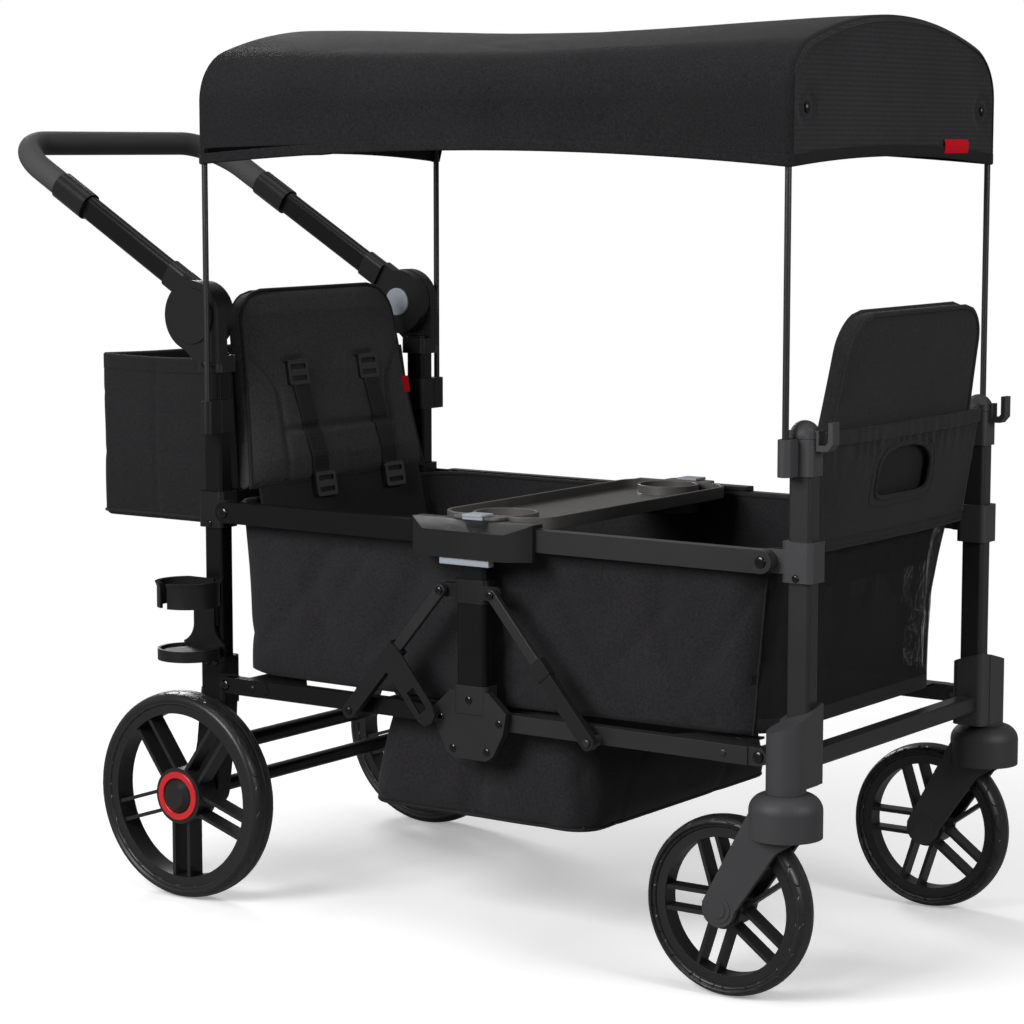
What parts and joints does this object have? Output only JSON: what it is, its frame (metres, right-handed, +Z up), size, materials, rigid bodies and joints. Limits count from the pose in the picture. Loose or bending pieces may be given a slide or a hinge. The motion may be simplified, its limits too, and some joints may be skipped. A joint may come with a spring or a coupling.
{
  "type": "stroller wagon",
  "caption": "Folding stroller wagon: cloth tub with facing seats and a footwell in a hinged side-rail frame, push handle, canopy, tray, fixed rear wheels and swivelling front casters.",
  "frame": {"origin": "on the floor under the middle of the overall length and width", "axes": "+X along the wagon towards the casters, +Y to the left side, +Z up"},
  "size_m": [1.3462, 0.624, 1.1649],
  "materials": {
    "frame_tube": "satin black powder coat",
    "rod": "satin black",
    "moulding": "fine matt texture",
    "fastener": "black zinc",
    "grip_foam": "foam",
    "touch_grey": "satin",
    "tyre": "matt",
    "rim": "satin",
    "red_ring": "gloss",
    "tub_fabric": "woven polyester",
    "seat_fabric": "padded polyester",
    "canopy_fabric": "knit mesh",
    "webbing": "webbing",
    "buckle": "satin",
    "tray_plastic": "satin",
    "board": "hardboard"
  },
  "bodies": {
    "rear_frame": {"rear_posts": "frame_tube", "rear_brackets": "moulding", "rear_cross_tubes": "frame_tube", "handle_hubs": "moulding", "rear_rod_clips": "moulding", "rear_hoop": "rod", "rear_seat_back": "seat_fabric", "harness_straps": "webbing", "harness_adjusters": "buckle", "rear_bag": "tub_fabric", "cup_holder": "moulding", "rear_fasteners": "fastener", "tub": "tub_fabric", "canopy": "canopy_fabric"},
    "handle": {"handle_bar": "frame_tube", "handle_grip": "grip_foam", "handle_fittings": "moulding"},
    "hub_button_right": {"hub_button_right": "touch_grey"},
    "hub_button_left": {"hub_button_left": "touch_grey"},
    "rear_wheel_right": {"rear_tyre_right": "tyre", "rear_rim_right": "rim", "rear_ring_right": "red_ring"},
    "rear_wheel_left": {"rear_tyre_left": "tyre", "rear_rim_left": "rim", "rear_ring_left": "red_ring"},
    "rear_top_rails": {"rear_top_rails": "frame_tube"},
    "front_top_rails": {"front_top_rails": "frame_tube"},
    "rear_base": {"rear_base_rails": "frame_tube", "rear_floor": "board"},
    "front_base": {"front_base_rails": "frame_tube", "front_floor": "board"},
    "middle": {"mid_posts": "frame_tube", "latch_bodies": "moulding", "mid_brackets": "moulding", "mid_collars": "moulding", "mid_fasteners": "fastener"},
    "latch_button_right": {"latch_button_right": "touch_grey"},
    "latch_button_left": {"latch_button_left": "touch_grey"},
    "tray": {"tray": "tray_plastic"},
    "tray_tab_right": {"tray_tab_right": "touch_grey"},
    "tray_tab_left": {"tray_tab_left": "touch_grey"},
    "rear_strut_rods": {"rear_strut_rods": "frame_tube"},
    "rear_strut_sleeves": {"rear_strut_sleeves": "moulding"},
    "front_strut_rods": {"front_strut_rods": "frame_tube"},
    "front_strut_sleeves": {"front_strut_sleeves": "moulding"},
    "front_frame": {"front_posts": "frame_tube", "front_brackets": "moulding", "front_cross_rail": "frame_tube", "front_caps": "moulding", "front_rod_clips": "moulding", "front_hoop": "rod", "front_seat_back": "seat_fabric", "front_panel": "tub_fabric", "front_fasteners": "fastener"},
    "caster_right": {"caster_fork_right": "moulding"},
    "front_wheel_right": {"front_tyre_right": "tyre", "front_rim_right": "rim"},
    "caster_left": {"caster_fork_left": "moulding"},
    "front_wheel_left": {"front_tyre_left": "tyre", "front_rim_left": "rim"}
  },
  "joints": [
    {"name": "fold", "type": "hinge", "parent": "rear_frame", "child": "rear_top_rails", "pos_m": [-0.23139, 0, 0.525], "axis": [0, -1, 0], "range_deg": [0, 78], "deforming": ["tub", "canopy"]},
    {"name": "middle_lift", "type": "hinge", "parent": "rear_top_rails", "child": "middle", "pos_m": [0.13561, 0, 0.525], "axis": [0, -1, 0], "range_deg": [-78, 0]},
    {"name": "front_top_fold", "type": "hinge", "parent": "middle", "child": "front_top_rails", "pos_m": [0.2256, 0, 0.525], "axis": [0, -1, 0], "range_deg": [-78, 0]},
    {"name": "front_frame_fold", "type": "hinge", "parent": "front_top_rails", "child": "front_frame", "pos_m": [0.59261, 0, 0.525], "axis": [0, -1, 0], "range_deg": [0, 78]},
    {"name": "rear_base_fold", "type": "hinge", "parent": "rear_frame", "child": "rear_base", "pos_m": [-0.23139, 0, 0.293], "axis": [0, -1, 0], "range_deg": [0, 78]},
    {"name": "front_base_fold", "type": "hinge", "parent": "middle", "child": "front_base", "pos_m": [0.2256, 0, 0.293], "axis": [0, -1, 0], "range_deg": [-78, 0]},
    {"name": "rear_rod_swing", "type": "hinge", "parent": "middle", "child": "rear_strut_rods", "pos_m": [0.14161, 0, 0.456], "axis": [0, -1, 0], "range_deg": [0, 34.94]},
    {"name": "front_rod_swing", "type": "hinge", "parent": "middle", "child": "front_strut_rods", "pos_m": [0.2196, 0, 0.456], "axis": [0, -1, 0], "range_deg": [-34.94, 0]},
    {"name": "rear_sleeve_swing", "type": "hinge", "parent": "rear_base", "child": "rear_strut_sleeves", "pos_m": [-0.0034, 0, 0.287], "axis": [0, -1, 0], "range_deg": [-43.06, 0]},
    {"name": "front_sleeve_swing", "type": "hinge", "parent": "front_base", "child": "front_strut_sleeves", "pos_m": [0.36461, 0, 0.287], "axis": [0, -1, 0], "range_deg": [0, 43.06]},
    {"name": "handle_tilt", "type": "hinge", "parent": "rear_frame", "child": "handle", "pos_m": [-0.2974, 0, 0.783], "axis": [0, 1, 0], "range_deg": [-80, 45]},
    {"name": "hub_button_right_push", "type": "slide", "parent": "handle", "child": "hub_button_right", "axis": [0, -1, 0], "range_m": [0, 0.003], "stiffness_N_per_m": 800, "springref_m": -0.001},
    {"name": "hub_button_left_push", "type": "slide", "parent": "handle", "child": "hub_button_left", "axis": [0, 1, 0], "range_m": [0, 0.003], "stiffness_N_per_m": 800, "springref_m": -0.001},
    {"name": "latch_button_right_push", "type": "slide", "parent": "middle", "child": "latch_button_right", "axis": [0, 0, 1], "range_m": [0, 0.004], "stiffness_N_per_m": 800, "springref_m": -0.001},
    {"name": "latch_button_left_push", "type": "slide", "parent": "middle", "child": "latch_button_left", "axis": [0, 0, 1], "range_m": [0, 0.004], "stiffness_N_per_m": 800, "springref_m": -0.001},
    {"name": "tray_lift", "type": "slide", "parent": "middle", "child": "tray", "axis": [0, 0, 1], "range_m": [0, 0.12]},
    {"name": "tray_tab_right_pull", "type": "slide", "parent": "tray", "child": "tray_tab_right", "axis": [0, -1, 0], "range_m": [0, 0.004], "stiffness_N_per_m": 800, "springref_m": -0.001},
    {"name": "tray_tab_left_pull", "type": "slide", "parent": "tray", "child": "tray_tab_left", "axis": [0, 1, 0], "range_m": [0, 0.004], "stiffness_N_per_m": 800, "springref_m": -0.001},
    {"name": "rear_wheel_right_roll", "type": "hinge", "parent": "rear_frame", "child": "rear_wheel_right", "pos_m": [-0.2894, -0.274, 0.1405], "axis": [0, 1, 0], "continuous": true},
    {"name": "caster_right_swivel", "type": "hinge", "parent": "front_frame", "child": "caster_right", "pos_m": [0.6306, -0.26, 0.2547], "axis": [0, 0, 1], "continuous": true},
    {"name": "front_wheel_right_roll", "type": "hinge", "parent": "caster_right", "child": "front_wheel_right", "pos_m": [0.55561, -0.26, 0.11], "axis": [0, 1, 0], "continuous": true},
    {"name": "rear_wheel_left_roll", "type": "hinge", "parent": "rear_frame", "child": "rear_wheel_left", "pos_m": [-0.2894, 0.274, 0.1405], "axis": [0, 1, 0], "continuous": true},
    {"name": "caster_left_swivel", "type": "hinge", "parent": "front_frame", "child": "caster_left", "pos_m": [0.6306, 0.26, 0.2547], "axis": [0, 0, 1], "continuous": true},
    {"name": "front_wheel_left_roll", "type": "hinge", "parent": "caster_left", "child": "front_wheel_left", "pos_m": [0.55561, 0.26, 0.11], "axis": [0, 1, 0], "continuous": true}
  ],
  "couplings": [
    {"joint": "middle_lift", "follows": "fold", "ratio": -1},
    {"joint": "front_top_fold", "follows": "fold", "ratio": -1},
    {"joint": "front_frame_fold", "follows": "fold", "ratio": 1},
    {"joint": "rear_base_fold", "follows": "fold", "ratio": 1},
    {"joint": "front_base_fold", "follows": "fold", "ratio": -1},
    {"joint": "rear_rod_swing", "follows": "fold", "ratio": 0.448},
    {"joint": "front_rod_swing", "follows": "fold", "ratio": -0.448},
    {"joint": "rear_sleeve_swing", "follows": "fold", "ratio": -0.552},
    {"joint": "front_sleeve_swing", "follows": "fold", "ratio": 0.552}
  ]
}
